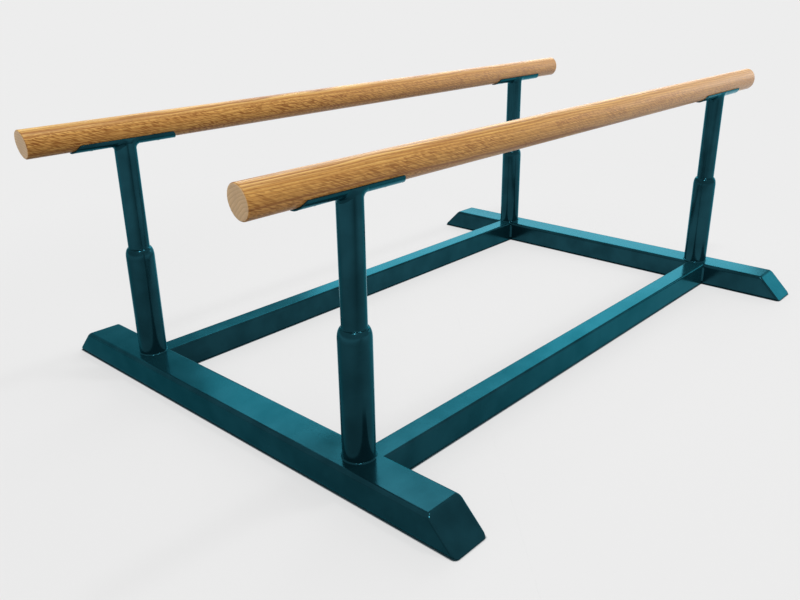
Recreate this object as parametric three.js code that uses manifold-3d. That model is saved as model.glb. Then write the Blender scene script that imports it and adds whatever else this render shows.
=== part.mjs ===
// Low floor-standing parallel bars. Two oval timber rails lie in steel saddles on four stepped round
// posts, and the posts stand on a welded floor frame of two cross beams and two long beams.
// Units are millimetres: +X runs along the rails, +Y across them to the left and +Z up.
// The origin is at floor level, in the middle of the footprint.

import * as THREE from 'three';
import { mergeVertices } from 'three/addons/utils/BufferGeometryUtils.js';
import Module from 'manifold-3d';

// Layout
const rail_spacing = 560;
const post_spacing = 1180;
const rail_overhang = 180;
const rail_centre_height = 470;

// Oval rails
const rail_width = 40;
const rail_height = 48;
const rail_end_rounding = 3;

// Cross beams, whose sloped ends are the feet
const beam_height = 50;
const cross_beam_width = 70;
const cross_beam_wall = 3;
const cross_beam_corner = 7;
const cross_beam_outset = 9;
const foot_length = 1000;
const foot_slope_run = 50;
const end_plate_thickness = 3;

// Long beams between the cross beams. An outset is how far a beam lies outside the line of its posts.
const long_beam_width = 40;
const long_beam_wall = 2.5;
const long_beam_corner = 4;
const left_long_beam_outset = -4;
const right_long_beam_outset = 13;

// Stepped posts
const lower_post_diameter = 51;
const lower_post_wall = 2.5;
const upper_post_diameter = 38;
const upper_post_wall = 2;
const step_height = 257;
const shoulder_height = 17;
const shoulder_land = 2;
const bush_depth = 60;

// Saddle plates, rolled to the rail's underside
const saddle_length = 196;
const saddle_thickness = 2.5;
const saddle_tongue = 19;
const saddle_wrap_angle = THREE.MathUtils.degToRad(61);

// Countersunk screws that hold a rail to its saddles, each set in from an end of the saddle. Their heads
// have a right-angled cone, and they lie a little below the plate's surface.
const screw_inset = 34;
const screw_length = 26;
const screw_tip = 6;
const screw_shank_diameter = 5;
const screw_head_diameter = 9.5;
const screw_head_sink = 0.2;
const screw_socket_width = 3;
const screw_socket_depth = 1.6;

// Weld beads, by the length of their legs
const beam_weld_leg = 4;
const beam_weld_floor_clearance = 1;
const base_weld_leg = 3.5;
const step_weld_leg = 1.6;
const saddle_weld_leg = 7;

// Gap between pieces that touch, and how far a cutting solid runs past what it cuts
const seat_gap = 0.3;
const cut_overrun = 5;

// Outlines in shares of the sizes that they follow
const weld_bulge_share = 0.15;
const saddle_weld_hollow_share = 0.15;

// Facets of the round forms
const round_segments = 32;
const oval_segments = 48;
const corner_segments = 4;
const edge_segments = 3;
const shoulder_segments = 4;
const saddle_segments = 18;
const tongue_segments = 10;
const screw_segments = 12;
const socket_sides = 6;

// Sizes that follow from the ones above
const lower_post_radius = lower_post_diameter / 2;
const upper_post_radius = upper_post_diameter / 2;
const cross_beam_place = post_spacing / 2 + cross_beam_outset;
const cross_beam_inner_face = cross_beam_place - cross_beam_width / 2;
const long_beam_places = {
  left: rail_spacing / 2 + left_long_beam_outset,
  right: rail_spacing / 2 + right_long_beam_outset,
};
const foot_slope = Math.atan2(beam_height, foot_slope_run);
const rail_length = post_spacing + 2 * rail_overhang;
const saddle_inner = { across: rail_width / 2 + seat_gap, down: rail_height / 2 + seat_gap };
const saddle_outer = {
  across: saddle_inner.across + saddle_thickness,
  down: saddle_inner.down + saddle_thickness,
};
const saddle_clear = {
  across: saddle_outer.across + seat_gap,
  down: saddle_outer.down + seat_gap,
};
const post_base = beam_height + seat_gap;
const shoulder_base = step_height - shoulder_height;
const bush_bore = upper_post_radius + seat_gap;
const bush_spigot = lower_post_radius - lower_post_wall - seat_gap;
const screw_face = rail_centre_height - saddle_outer.down + screw_head_sink;
const screw_spacing = saddle_length - 2 * screw_inset;
const screw_shank_radius = screw_shank_diameter / 2;
const screw_head_radius = screw_head_diameter / 2;
const screw_hole_radius = screw_shank_radius + seat_gap;
const countersink_radius = screw_head_radius + seat_gap * Math.SQRT2;

const wasm = await Module();
wasm.setup();

// Finishes
const teal_enamel = { color: 0x1f5560, roughness: 0.25, metalness: 0.1 };
const oiled_timber = { color: 0xc08f4e, roughness: 0.5, metalness: 0 };
const zinc_plate = { color: 0xb9bcc0, roughness: 0.35, metalness: 0.9 };

// A closed three.js geometry as a solid that can be joined and cut
function solid(geometry) {
  const bare = geometry.index ? geometry.toNonIndexed() : geometry.clone();
  bare.deleteAttribute('normal');
  bare.deleteAttribute('uv');
  const merged = mergeVertices(bare);
  return new wasm.Manifold(new wasm.Mesh({
    numProp: 3,
    vertProperties: new Float32Array(merged.attributes.position.array),
    triVerts: new Uint32Array(merged.index.array),
  }));
}

// A solid as a three.js geometry again
function geometryOf(body) {
  const mesh = body.getMesh();
  const points = [];
  for (let i = 0; i < mesh.vertProperties.length; i += mesh.numProp) {
    points.push(...mesh.vertProperties.slice(i, i + 3));
  }
  const geometry = new THREE.BufferGeometry();
  geometry.setAttribute('position', new THREE.Float32BufferAttribute(points, 3));
  geometry.setIndex(Array.from(mesh.triVerts));
  geometry.computeVertexNormals();
  return geometry;
}

// Turns a geometry drawn in XY and extruded along +Z, so that it lies along X with its outline in YZ
function layAlongX(geometry) {
  const basis = new THREE.Matrix4().makeBasis(
    new THREE.Vector3(0, 1, 0), new THREE.Vector3(0, 0, 1), new THREE.Vector3(1, 0, 0));
  return geometry.applyMatrix4(basis);
}

// The same for a geometry that lies along Y with its outline in XZ
function layAlongY(geometry) {
  const basis = new THREE.Matrix4().makeBasis(
    new THREE.Vector3(1, 0, 0), new THREE.Vector3(0, 0, 1), new THREE.Vector3(0, -1, 0));
  return geometry.applyMatrix4(basis);
}

// A shape extruded over a length that is centred on its own plane
function centredExtrusion(shape, length, curveSegments = corner_segments) {
  const geometry = new THREE.ExtrudeGeometry(shape, { depth: length, bevelEnabled: false, curveSegments });
  return geometry.translate(0, 0, -length / 2);
}

// A rectangle with round corners, centred on x = 0 and standing on y = base
function roundedRectangle(width, height, radius, base = 0) {
  const side = width / 2;
  const shape = new THREE.Shape();
  shape.moveTo(radius - side, base);
  shape.lineTo(side - radius, base);
  shape.absarc(side - radius, base + radius, radius, -Math.PI / 2, 0);
  shape.lineTo(side, base + height - radius);
  shape.absarc(side - radius, base + height - radius, radius, 0, Math.PI / 2);
  shape.lineTo(radius - side, base + height);
  shape.absarc(radius - side, base + height - radius, radius, Math.PI / 2, Math.PI);
  shape.lineTo(-side, base + radius);
  shape.absarc(radius - side, base + radius, radius, Math.PI, 1.5 * Math.PI);
  return shape;
}

// The outline of a rectangular hollow section, grown outwards by a margin and shrunk to its bore by a wall
function sectionOutline(width, corner, margin = 0) {
  return roundedRectangle(width + 2 * margin, beam_height + 2 * margin, corner + margin, -margin);
}

// A polygon in the side view of a cross beam, extruded over its width
function sideProfile(points, width) {
  const shape = new THREE.Shape(points.map(([across, up]) => new THREE.Vector2(across, up)));
  return solid(layAlongX(centredExtrusion(shape, width)));
}

// A profile of [radius, height] points turned about the Z axis. It runs anticlockwise, and it is closed
// here unless it starts and ends on the axis.
function turned(profile, segments = round_segments) {
  const points = profile.map(([radius, height]) => new THREE.Vector2(radius, height));
  const onAxis = points[0].x === 0 && points[points.length - 1].x === 0;
  if (!onAxis) points.push(points[0].clone());
  return new THREE.LatheGeometry(points, segments).rotateX(Math.PI / 2);
}

// A round tube between two heights
function tube(outer_radius, wall, bottom, top) {
  const inner_radius = outer_radius - wall;
  return solid(turned([
    [inner_radius, bottom],
    [outer_radius, bottom],
    [outer_radius, top],
    [inner_radius, top],
  ]));
}

// A fillet bead round a post: a triangle with a slightly swollen face
function filletBead(inner_radius, leg, base) {
  const middle = leg / 2 + leg * weld_bulge_share;
  return turned([
    [inner_radius, base],
    [inner_radius + leg, base],
    [inner_radius + middle, base + middle],
    [inner_radius, base + leg],
  ]);
}

// A rectangular tube along Y with its ends cut to the foot's slope
function crossBeam() {
  const bore = sectionOutline(cross_beam_width, cross_beam_corner, -cross_beam_wall);
  const set_back = (end_plate_thickness + seat_gap) / Math.sin(foot_slope);
  const at_floor = foot_length / 2 - set_back;
  const at_top = at_floor - foot_slope_run;
  const outer = solid(layAlongY(centredExtrusion(
    sectionOutline(cross_beam_width, cross_beam_corner), foot_length)));
  const inner = solid(layAlongY(centredExtrusion(bore, foot_length + 2 * cut_overrun)));
  const sloped = sideProfile(
    [[-at_floor, 0], [at_floor, 0], [at_top, beam_height], [-at_top, beam_height]],
    cross_beam_width + 2 * cut_overrun);
  return geometryOf(outer.subtract(inner).intersect(sloped));
}

// The plate that closes a foot, ground to the beam's outline. The side is 1 on the left and -1 on the right.
function endPlate(side) {
  const thickness = end_plate_thickness / Math.sin(foot_slope);
  const at_floor = foot_length / 2;
  const at_top = at_floor - foot_slope_run;
  const outer = solid(layAlongY(centredExtrusion(
    sectionOutline(cross_beam_width, cross_beam_corner), foot_length)));
  const slab = sideProfile([
    [side * (at_floor - thickness), 0],
    [side * at_floor, 0],
    [side * at_top, beam_height],
    [side * (at_top - thickness), beam_height],
  ], cross_beam_width + 2 * cut_overrun);
  return geometryOf(outer.intersect(slab));
}

// A rectangular tube along X that ends just short of the cross beams' inner faces
function longBeam() {
  const length = 2 * (cross_beam_inner_face - seat_gap);
  const outer = solid(layAlongX(centredExtrusion(sectionOutline(long_beam_width, long_beam_corner), length)));
  const inner = solid(layAlongX(centredExtrusion(
    sectionOutline(long_beam_width, long_beam_corner, -long_beam_wall), length + 2 * cut_overrun)));
  return geometryOf(outer.subtract(inner));
}

// The weld round a long beam's end: two side beads, and a fill ground flush in the groove on top.
// It is drawn in the long beam's frame, with the end 1 at the rear and -1 at the front.
function beamWeld(end) {
  const low = beam_weld_floor_clearance;
  const width = long_beam_width + 2 * beam_weld_leg;
  const face = end * cross_beam_inner_face;
  const plan = new THREE.Shape([
    new THREE.Vector2(face + end * cross_beam_corner, width / 2),
    new THREE.Vector2(face + end * cross_beam_corner, -width / 2),
    new THREE.Vector2(face, -width / 2),
    new THREE.Vector2(face - end * beam_weld_leg, -long_beam_width / 2),
    new THREE.Vector2(face - end * beam_weld_leg, long_beam_width / 2),
    new THREE.Vector2(face, width / 2),
  ]);
  const bead = solid(new THREE.ExtrudeGeometry(plan, { depth: beam_height - low, bevelEnabled: false })
    .translate(0, 0, low));
  const reach = cross_beam_inner_face - seat_gap / 2;
  const beam = solid(layAlongX(centredExtrusion(
    sectionOutline(long_beam_width, long_beam_corner, seat_gap), 2 * reach)));
  const cross = solid(layAlongY(centredExtrusion(
    sectionOutline(cross_beam_width, cross_beam_corner, seat_gap), width + 2 * cut_overrun))
    .translate(end * cross_beam_place, 0, 0));
  return geometryOf(bead.subtract(beam).subtract(cross));
}

// The ellipse that a rail or a saddle surface follows, as a solid along X at the rail's height
function ovalAlongRail({ across, down }, length) {
  const shape = new THREE.Shape();
  shape.absellipse(0, rail_centre_height, across, down, 0, 2 * Math.PI);
  return solid(layAlongX(centredExtrusion(shape, length, oval_segments / 2)));
}

// The lower tube of a post, standing on the cross beam
function lowerPost() {
  return geometryOf(tube(lower_post_radius, lower_post_wall, post_base, shoulder_base));
}

// The bush that centres the upper tube, with the rounded shoulder outside and a spigot inside
function reducingBush() {
  const flange = shoulder_base + seat_gap;
  const land = bush_bore + shoulder_land;
  const profile = [
    [bush_bore, shoulder_base - bush_depth],
    [bush_spigot, shoulder_base - bush_depth],
    [bush_spigot, flange],
  ];
  for (let i = 0; i <= shoulder_segments; i += 1) {
    const turn = (Math.PI / 2) * (i / shoulder_segments);
    profile.push([
      land + (lower_post_radius - land) * Math.cos(turn),
      flange + (step_height - flange) * Math.sin(turn),
    ]);
  }
  profile.push([bush_bore, step_height]);
  return turned(profile);
}

// The upper tube of a post, from the foot of the bush to the saddle, with its top coped to the saddle
function upperPost() {
  const blank = tube(upper_post_radius, upper_post_wall, shoulder_base - bush_depth, rail_centre_height);
  return geometryOf(blank.subtract(ovalAlongRail(saddle_clear, upper_post_diameter + 2 * cut_overrun)));
}

// The bead between the upper tube and the saddle, with a hollow face. It follows the line where the two
// meet, and it is narrow where the saddle's edge is near.
function saddleWeld() {
  const inner_radius = upper_post_radius + seat_gap;
  const lip = saddle_outer.across * Math.sin(saddle_wrap_angle);
  const under = (y) => rail_centre_height - saddle_clear.down * Math.sqrt(1 - (y / saddle_clear.across) ** 2);
  const sections = [];
  for (let i = 0; i < round_segments; i += 1) {
    const turn = (2 * Math.PI * i) / round_segments;
    const sine = Math.sin(turn);
    const widest = Math.abs(sine) > 0 ? lip / Math.abs(sine) : Infinity;
    const outer_radius = Math.min(inner_radius + saddle_weld_leg, widest);
    const root = under(inner_radius * sine);
    const toe = under(outer_radius * sine);
    const hollow = (outer_radius - inner_radius) * saddle_weld_hollow_share;
    const profile = [
      [inner_radius, root - saddle_weld_leg],
      [(inner_radius + outer_radius) / 2 - hollow, (root - saddle_weld_leg + toe) / 2 + hollow],
      [outer_radius, toe + seat_gap],
      [inner_radius, root + seat_gap],
    ];
    sections.push(profile.map(([radius, height]) => [radius * Math.cos(turn), radius * sine, height]));
  }
  const reach = 2 * (inner_radius + saddle_weld_leg + cut_overrun);
  return geometryOf(solid(ringThrough(sections)).subtract(ovalAlongRail(saddle_clear, reach)));
}

// A closed ring through equal sections, each an anticlockwise loop of points seen against the turn
function ringThrough(sections) {
  const sides = sections[0].length;
  const index = [];
  for (let i = 0; i < sections.length; i += 1) {
    const next = (i + 1) % sections.length;
    for (let j = 0; j < sides; j += 1) {
      const after = (j + 1) % sides;
      const [a, b] = [i * sides + j, next * sides + j];
      const [c, d] = [next * sides + after, i * sides + after];
      index.push(a, b, c, a, c, d);
    }
  }
  const geometry = new THREE.BufferGeometry();
  geometry.setAttribute('position', new THREE.Float32BufferAttribute(sections.flat(2), 3));
  geometry.setIndex(index);
  geometry.computeVertexNormals();
  return geometry;
}

// The saddle plate: an oval trough with tongue-shaped ends and two countersunk screw holes
function saddle() {
  const arc = new THREE.Shape();
  const start = -Math.PI / 2 - saddle_wrap_angle;
  const end = -Math.PI / 2 + saddle_wrap_angle;
  arc.absellipse(0, rail_centre_height, saddle_outer.across, saddle_outer.down, start, end, false);
  arc.absellipse(0, rail_centre_height, saddle_inner.across, saddle_inner.down, end, start, true);
  const trough = solid(layAlongX(centredExtrusion(arc, saddle_length, saddle_segments / 2)));
  const plan = new THREE.Shape();
  const straight = saddle_length / 2 - saddle_tongue;
  plan.absellipse(straight, 0, saddle_tongue, saddle_outer.across, -Math.PI / 2, Math.PI / 2);
  plan.absellipse(-straight, 0, saddle_tongue, saddle_outer.across, Math.PI / 2, 1.5 * Math.PI);
  const tongues = solid(centredExtrusion(plan, 2 * (saddle_outer.down + cut_overrun), tongue_segments / 2)
    .translate(0, 0, rail_centre_height));
  let plate = trough.intersect(tongues);
  for (const place of [-screw_spacing / 2, screw_spacing / 2]) plate = plate.subtract(screwHole(place));
  return geometryOf(plate);
}

// A countersunk hole for a screw, from below the saddle to just past the screw's tip
function screwHole(place) {
  const drill = turned([
    [0, -cut_overrun],
    [countersink_radius, -cut_overrun],
    [countersink_radius, 0],
    [screw_hole_radius, countersink_radius - screw_hole_radius],
    [screw_hole_radius, screw_length + seat_gap],
    [0, screw_length + seat_gap],
  ], screw_segments);
  return solid(drill.translate(place, 0, screw_face));
}

// A countersunk screw with a hexagon socket, pointing up, with the flat of its head at z = 0
function railScrew() {
  const blank = solid(turned([
    [0, 0],
    [screw_head_radius, 0],
    [screw_shank_radius, screw_head_radius - screw_shank_radius],
    [screw_shank_radius, screw_length - screw_tip],
    [0, screw_length],
  ], screw_segments));
  const socket_radius = screw_socket_width / 2 / Math.cos(Math.PI / socket_sides);
  const depth = screw_socket_depth + cut_overrun;
  const socket = new THREE.CylinderGeometry(socket_radius, socket_radius, depth, socket_sides)
    .rotateX(Math.PI / 2)
    .translate(0, 0, screw_socket_depth - depth / 2);
  return geometryOf(blank.subtract(solid(socket)));
}

// A solid oval rail with eased ends, drilled for its screws
function rail() {
  const outline = new THREE.Shape();
  outline.absellipse(0, 0, rail_width / 2, rail_height / 2, 0, 2 * Math.PI);
  const blank = new THREE.ExtrudeGeometry(outline, {
    depth: rail_length - 2 * rail_end_rounding,
    curveSegments: oval_segments / 2,
    bevelThickness: rail_end_rounding,
    bevelSize: rail_end_rounding,
    bevelOffset: -rail_end_rounding,
    bevelSegments: edge_segments,
  }).translate(0, 0, rail_end_rounding - rail_length / 2);
  let bar = solid(layAlongX(blank).translate(0, 0, rail_centre_height));
  for (const post of [-post_spacing / 2, post_spacing / 2]) {
    for (const place of [-screw_spacing / 2, screw_spacing / 2]) bar = bar.subtract(screwHole(post + place));
  }
  return geometryOf(bar);
}

// A named piece with its own material
function piece(name, geometry, finish) {
  const mesh = new THREE.Mesh(geometry, new THREE.MeshStandardMaterial(finish));
  mesh.name = name;
  return mesh;
}

// One stepped post with its welds, saddle and screws, about its own axis
function buildPost(corner, shapes) {
  const post = new THREE.Group();
  post.add(
    piece(`${corner}_lower_post`, shapes.lower, teal_enamel),
    piece(`${corner}_base_weld`, shapes.baseWeld, teal_enamel),
    piece(`${corner}_reducing_bush`, shapes.bush, teal_enamel),
    piece(`${corner}_step_weld`, shapes.stepWeld, teal_enamel),
    piece(`${corner}_upper_post`, shapes.upper, teal_enamel),
    piece(`${corner}_saddle_weld`, shapes.saddleWeld, teal_enamel),
    piece(`${corner}_saddle`, shapes.saddle, teal_enamel),
  );
  [-screw_spacing / 2, screw_spacing / 2].forEach((place, i) => {
    const screw = piece(`${corner}_rail_screw_${i + 1}`, shapes.screw, zinc_plate);
    screw.position.set(place, 0, screw_face);
    post.add(screw);
  });
  return post;
}

const ends = [{ name: 'front', sign: -1 }, { name: 'rear', sign: 1 }];
const sides = [{ name: 'left', sign: 1 }, { name: 'right', sign: -1 }];

// The floor frame: cross beams with their end plates, long beams and the welds between them
function buildFloorFrame() {
  const frame = new THREE.Group();
  const cross = crossBeam();
  const long = longBeam();
  const plates = { left: endPlate(1), right: endPlate(-1) };
  const welds = { front: beamWeld(-1), rear: beamWeld(1) };
  for (const end of ends) {
    const foot = new THREE.Group();
    foot.position.x = end.sign * cross_beam_place;
    foot.add(piece(`${end.name}_cross_beam`, cross, teal_enamel));
    for (const side of sides) {
      foot.add(piece(`${end.name}_${side.name}_end_plate`, plates[side.name], teal_enamel));
    }
    frame.add(foot);
  }
  for (const side of sides) {
    const runner = new THREE.Group();
    runner.position.y = side.sign * long_beam_places[side.name];
    runner.add(piece(`${side.name}_long_beam`, long, teal_enamel));
    for (const end of ends) {
      runner.add(piece(`${end.name}_${side.name}_beam_weld`, welds[end.name], teal_enamel));
    }
    frame.add(runner);
  }
  return frame;
}

// The four posts on the cross beams
function buildPosts() {
  const posts = new THREE.Group();
  const shapes = {
    lower: lowerPost(),
    baseWeld: filletBead(lower_post_radius + seat_gap, base_weld_leg, post_base),
    bush: reducingBush(),
    stepWeld: filletBead(upper_post_radius + seat_gap, step_weld_leg, step_height + seat_gap),
    upper: upperPost(),
    saddleWeld: saddleWeld(),
    saddle: saddle(),
    screw: railScrew(),
  };
  for (const end of ends) {
    for (const side of sides) {
      const post = buildPost(`${end.name}_${side.name}`, shapes);
      post.position.set((end.sign * post_spacing) / 2, (side.sign * rail_spacing) / 2, 0);
      posts.add(post);
    }
  }
  return posts;
}

// The two rails
function buildRails() {
  const rails = new THREE.Group();
  const bar = rail();
  for (const side of sides) {
    const mesh = piece(`${side.name}_rail`, bar, oiled_timber);
    mesh.position.y = (side.sign * rail_spacing) / 2;
    rails.add(mesh);
  }
  return rails;
}

const bars = new THREE.Group();
bars.add(buildFloorFrame(), buildPosts(), buildRails());

export default bars;
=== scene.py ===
"""Low floor-standing parallel bars: two oval timber rails on stepped steel posts and a floor frame.

Lengths are in metres. +X runs along the rails towards the rear, +Y across them to the left and +Z up.
"""

import logging
import math
from collections.abc import Iterable
from dataclasses import dataclass
from enum import Enum
from typing import NamedTuple

import bmesh
import bpy
from mathutils import Matrix, Vector


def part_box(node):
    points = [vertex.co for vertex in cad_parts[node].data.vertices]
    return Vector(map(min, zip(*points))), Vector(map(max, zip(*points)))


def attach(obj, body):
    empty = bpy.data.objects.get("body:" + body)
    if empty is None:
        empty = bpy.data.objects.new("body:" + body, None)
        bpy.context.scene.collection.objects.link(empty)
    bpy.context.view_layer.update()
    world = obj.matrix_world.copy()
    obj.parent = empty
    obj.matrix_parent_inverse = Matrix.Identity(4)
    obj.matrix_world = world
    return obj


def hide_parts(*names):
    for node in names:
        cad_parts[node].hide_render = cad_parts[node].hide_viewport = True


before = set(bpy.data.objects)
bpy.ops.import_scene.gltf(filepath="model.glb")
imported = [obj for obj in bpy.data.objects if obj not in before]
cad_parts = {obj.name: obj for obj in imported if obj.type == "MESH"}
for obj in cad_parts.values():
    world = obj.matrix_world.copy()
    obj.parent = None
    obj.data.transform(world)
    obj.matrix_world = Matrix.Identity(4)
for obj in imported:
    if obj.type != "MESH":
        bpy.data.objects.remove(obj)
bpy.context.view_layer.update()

MM = 0.001
BODY = "root"
QUARTER_TURN = math.pi / 2
TURNING_STEPS = 96
SCREW_STEPS = 48
SCALE_STEPS = 6
EDGE_STEPS = 3
SOCKET_SIDES = 6
MERGE_DISTANCE = 0.002 * MM
SMOOTH_ANGLE = math.radians(35)
RIM_ANGLE = math.radians(50)

# How many radians a Wave texture turns for each unit of its scaled place
WAVE_RATE = 20

log = logging.getLogger("parallel_bars")

Colour = tuple[float, float, float, float]
Pair = tuple[float, float]
Section = list[Pair]
Shape = bmesh.types.BMesh
Tree = bpy.types.NodeTree
Node = bpy.types.Node
Source = Node | bpy.types.NodeSocket


class End(Enum):
    """An end of the bars, with the sign of its place along X."""

    FRONT = -1
    REAR = 1


class Side(Enum):
    """A side of the bars, with the sign of its place along Y."""

    LEFT = 1
    RIGHT = -1


class Slot(Enum):
    """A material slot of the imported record."""

    ENAMEL = "teal_enamel"
    TIMBER = "oiled_timber"
    ZINC = "zinc_plate"


class Finish(NamedTuple):
    """A material, with the record's slot that it belongs to."""

    slot: Slot
    material: bpy.types.Material


def corner_name(end: End, side: Side) -> str:
    """Names a corner of the bars, such as front_left."""
    return f"{end.name.lower()}_{side.name.lower()}"


@dataclass(frozen=True)
class Box:
    """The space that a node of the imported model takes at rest."""

    low: Vector
    high: Vector

    @classmethod
    def of(cls, node: str) -> "Box":
        """Reads the box of the named node."""
        return cls(*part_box(node))

    @property
    def centre(self) -> Vector:
        """The middle of the box."""
        return (self.low + self.high) / 2

    @property
    def size(self) -> Vector:
        """The box's length along each axis."""
        return self.high - self.low


def linear(hex_colour: str) -> Colour:
    """Turns an sRGB hex colour into a linear one.

    Args:
        hex_colour: A hash mark and six hex digits.

    Returns:
        Red, green, blue and an alpha of 1.
    """
    channels = [int(hex_colour[i : i + 2], 16) / 255 for i in (1, 3, 5)]
    red, green, blue = (c / 12.92 if c <= 0.04045 else ((c + 0.055) / 1.055) ** 2.4 for c in channels)
    return red, green, blue, 1.0


def node(tree: Tree, kind: str, inputs: dict | None = None, stops: Iterable = (),
         **settings: object) -> Node:
    """Adds a shader node with its settings and links.

    Args:
        tree: The tree that the node goes into.
        kind: The node's type without its ShaderNode prefix.
        inputs: What each input holds, by name or number: a value, the output that feeds it, or a node
            whose first output in use feeds it.
        stops: The places and hex colours of a colour ramp.
        **settings: Properties of the node.

    Returns:
        The new node.
    """
    made = tree.nodes.new(f"ShaderNode{kind}")
    for name, value in settings.items():
        setattr(made, name, value)
    for number, (place, hex_colour) in enumerate(stops):
        elements = made.color_ramp.elements
        element = elements[number] if number < len(elements) else elements.new(place)
        element.position = place
        element.color = linear(hex_colour)
    for key, value in (inputs or {}).items():
        socket = next(found for number, found in enumerate(made.inputs)
                      if found.enabled and key in (number, found.name))
        if isinstance(value, Node):
            value = next(output for output in value.outputs if output.enabled)
        if isinstance(value, bpy.types.NodeSocket):
            tree.links.new(value, socket)
        else:
            socket.default_value = value
    return made


def new_material(name: str) -> tuple[bpy.types.Material, Tree]:
    """Makes an empty node material and returns it with its tree."""
    material = bpy.data.materials.new(name)
    material.use_nodes = True
    material.node_tree.nodes.clear()
    return material, material.node_tree


@dataclass(frozen=True)
class StovedEnamel:
    """Gloss teal enamel, sprayed and stoved on steel.

    The eye sees a deep blue-green film that levels out almost to a mirror, with a faint orange peel. The
    film tints what it mirrors, so faces that catch the light at a low angle turn a bright teal. A faint
    haze lightens the edges of the tubes.
    """

    deep: str = "#123139"
    full: str = "#173B44"
    edge_tint: str = "#BAE0EB"
    haze: str = "#2F93A6"
    haze_share: float = 0.3
    haze_spread: float = 0.4
    metallic: float = 0.7
    roughness: Pair = (0.13, 0.23)
    mottle_size: float = 55 * MM
    mottle_span: Pair = (0.35, 0.65)
    peel_size: float = 3.5 * MM
    peel_depth: float = 0.02 * MM

    def material(self) -> bpy.types.Material:
        """Builds the material."""
        material, tree = new_material("teal_stoved_enamel")
        place = node(tree, "TexCoord").outputs["Object"]
        mottle = node(tree, "TexNoise", {"Vector": place, "Scale": 1 / self.mottle_size, "Detail": 3.0})
        patches = node(tree, "MapRange", {
            "Value": mottle, "From Min": self.mottle_span[0], "From Max": self.mottle_span[1]})
        cover = node(tree, "Mix", {
            "Factor": patches, "A": linear(self.deep), "B": linear(self.full)}, data_type="RGBA")
        gloss = node(tree, "MapRange", {
            "Value": mottle, "To Min": self.roughness[0], "To Max": self.roughness[1]})
        peel = node(tree, "TexNoise", {"Vector": place, "Scale": 1 / self.peel_size, "Detail": 1.0})
        shader = node(tree, "BsdfPrincipled", {
            "Base Color": cover,
            "Metallic": self.metallic,
            "Roughness": gloss,
            "Specular IOR Level": 0.0,
            "Specular Tint": linear(self.edge_tint),
            "Sheen Weight": self.haze_share,
            "Sheen Roughness": self.haze_spread,
            "Sheen Tint": linear(self.haze),
            "Normal": node(tree, "Bump", {"Height": peel, "Distance": self.peel_depth}),
        })
        node(tree, "OutputMaterial", {"Surface": shader})
        return material


@dataclass(frozen=True)
class Layer:
    """A colour that covers the wood as a pattern's value goes from one level to another.

    Attributes:
        start: The value at which the colour starts.
        full: The value from which it covers the most.
        most: The share that it then covers.
        colour: The colour.
    """

    start: float
    full: float
    most: float
    colour: str

    def cover(self, tree: Tree, value: Source, *shares: Source) -> Node:
        """Adds how much the colour covers.

        Args:
            tree: The material's tree.
            value: The pattern's value.
            *shares: What the cover is multiplied by.

        Returns:
            The cover, as a share.
        """
        made = node(tree, "MapRange", {
            "Value": value, "From Min": self.start, "From Max": self.full, "To Max": self.most})
        for share in shares:
            made = node(tree, "Math", {0: made, 1: share}, operation="MULTIPLY")
        return made


def stretched_noise(tree: Tree, place: Source, size: Pair, detail: float) -> Node:
    """Adds noise that is stretched along X, about a half on average.

    Args:
        tree: The material's tree.
        place: The place that the noise is read at.
        size: The length of a patch along X and its width across.
        detail: How many finer layers the noise has.

    Returns:
        The noise.
    """
    length, width = size
    squeezed = node(tree, "Mapping", {"Vector": place, "Scale": (1 / length, 1 / width, 1 / width)})
    return node(tree, "TexNoise", {"Vector": squeezed, "Scale": 1.0, "Detail": detail})


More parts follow.
